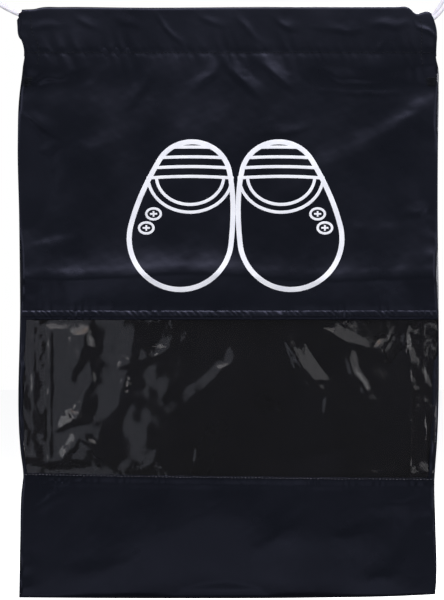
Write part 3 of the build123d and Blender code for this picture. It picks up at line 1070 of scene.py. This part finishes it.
def printed_shoe(end):
    """A generic slip-on shoe seen from above: outline, opening, bars and two buttons."""
    heel = (end * HEEL_OUT, PRINT_TOP - BOLD / 2 - HEEL_R * ROUND)
    toe = (end * TOE_OUT, PRINT_BOTTOM + BOLD / 2 + TOE_R)
    turns = ((28, 16), (10, -4)) if end == RIGHT else ((10, -4), (28, 16))
    (heel_right, toe_right), (heel_left, toe_left) = turns
    cap = arc(heel, HEEL_R, 180 - heel_left, heel_right, squash=ROUND)
    front = arc(toe, TOE_R, toe_right, -180 - toe_left)
    outline = np.concatenate([cap, joined(cap, front), front, joined(front, cap), cap[:1]])
    strokes = [(outline, BOLD, 0.0)]
    rim = (heel[0] + end * 1.5, RIM_Z)
    for wide, deep in RIMS:
        strokes.append((arc(rim, wide, 180, 360, 90, squash=deep / wide), LINE, 0.01))
    for drop, reach in BARS:
        across = np.linspace(-reach, reach, 40)
        bar = np.stack([heel[0] + end * drop * 0.06 + across,
                        PRINT_TOP - drop - 0.0012 * across**2], -1)
        strokes.append((bar, LINE, 0.015))
    for across, z in BUTTONS:
        dot = (end * across, z)
        strokes.append((arc(dot, BUTTON_R, 0, 360, 50, squash=0.75), BUTTON_LINE, 0.01))
        for wide, high in CROSS:
            cross = np.array([(dot[0] - wide, z - high), (dot[0] + wide, z + high)])
            strokes.append((cross, CROSS_LINE, 0.012))
    return [ribbon(path + (PRINT_CENTRE, 0), *rest) for path, *rest in strokes]


ink = build("shoe_pictogram_ink", printed_shoe(LEFT) + printed_shoe(RIGHT), INK)
fixed(ink, "shoe_print")

# ---- floor and light
FLOOR_Z, FLOOR_R = -0.50, 6.0  # in metres
floor_data = bpy.data.meshes.new("floor")
ring = [(FLOOR_R * math.cos(a), FLOOR_R * math.sin(a), FLOOR_Z)
        for a in np.linspace(0, 2 * math.pi, 64, endpoint=False)]
floor_data.from_pydata(ring, [], [list(range(64))])
floor = add_object("floor", floor_data)
floor.visible_glossy = floor.visible_diffuse = floor.visible_transmission = False
floor_data.materials.append(material("floor_pale", (0.86, 0.86, 0.87), 0.9,
                                     Emission_Color=(1, 1, 1, 1),
                                     Emission_Strength=0.85)[0])

# The background is white to the camera, and dim to everything else.
world = bpy.data.worlds.new("studio")
bpy.context.scene.world = world
world.use_nodes = True
tree = world.node_tree
background = tree.nodes["Background"]
background.inputs["Color"].default_value = (0.92, 0.94, 1.0, 1)
background.inputs["Strength"].default_value = 0.12
white = node(tree, "ShaderNodeBackground", Color=(1, 1, 1, 1), Strength=1.0)
ray = node(tree, "ShaderNodeLightPath")
choose = node(tree, "ShaderNodeMixShader")
link(ray.outputs["Is Camera Ray"], choose.inputs["Fac"])
link(background.outputs["Background"], choose.inputs[1])
link(white.outputs["Background"], choose.inputs[2])
link(choose.outputs["Shader"], tree.nodes["World Output"].inputs["Surface"])


def softbox(name, place, aim, size, power, colour, lights):
    """A rectangular soft light; lights is the group it lights, or None for everything."""
    data = bpy.data.lights.new(name, "AREA")
    data.shape = "RECTANGLE"
    data.size, data.size_y = size
    data.energy = power
    data.color = colour
    light = add_object(name, data)
    light.location = place
    direction = Vector(aim) - Vector(place)
    light.rotation_euler = direction.to_track_quat("-Z", "Y").to_euler()
    if lights:
        light.light_linking.receiver_collection = lights


def film_group(name, state):
    """Light linking that takes in the film alone, or leaves out just the film."""
    group = bpy.data.collections.new(name)
    group.objects.link(film)
    group.collection_objects[0].light_linking.link_state = state
    return group


FILM_ALONE = film_group("film_alone", "INCLUDE")
ALL_BUT_FILM = film_group("all_but_film", "EXCLUDE")
WHITE, WARM_WHITE, COOL_WHITE = (1, 1, 1), (1.0, 0.98, 1.0), (0.95, 0.96, 1.0)
for light in (
    ("key_top", (-0.2, -1.3, 0.70), (0, 0, -0.15), (1.4, 0.45), 2.0, WARM_WHITE, None),
    ("high_top", (0.1, -0.85, 1.0), (0, 0, -0.2), (1.4, 0.7), 22, WARM_WHITE, ALL_BUT_FILM),
    ("low_fill", (0, -1.5, -1.2), (0, 0, -0.35), (1.6, 0.8), 2.0, (0.95, 0.97, 1.0),
     ALL_BUT_FILM),
    ("film_left", (-0.8, -1.2, -0.05), (0, 0, -0.25), (1.1, 1.5), 1.75, (0.80, 0.85, 1.0),
     FILM_ALONE),
    ("film_warm", (-0.4, -1.0, 0.9), (0, 0, -0.25), (1.0, 0.6), 1.8, (1.0, 0.58, 0.34),
     FILM_ALONE),
    ("film_right", (0.8, -1.2, 0.25), (0, 0, -0.25), (0.7, 0.9), 1.2, COOL_WHITE,
     FILM_ALONE),
    ("left_side", (-1.3, -0.85, 0.1), (0, 0, -0.2), (0.6, 1.2), 3, COOL_WHITE, None),
    ("right_side", (1.3, -0.85, 0.1), (0, 0, -0.2), (0.6, 1.2), 3, COOL_WHITE, None),
    ("back_key", (0.5, 1.1, 0.8), (0, 0, -0.2), (1.0, 0.6), 24, WHITE, None),
    ("back_fill", (1.2, 0.85, 0.05), (0, 0, -0.2), (0.35, 1.0), 5.5, WHITE, None),
):
    softbox(*light)

bpy.context.scene.view_settings.view_transform = "Standard"
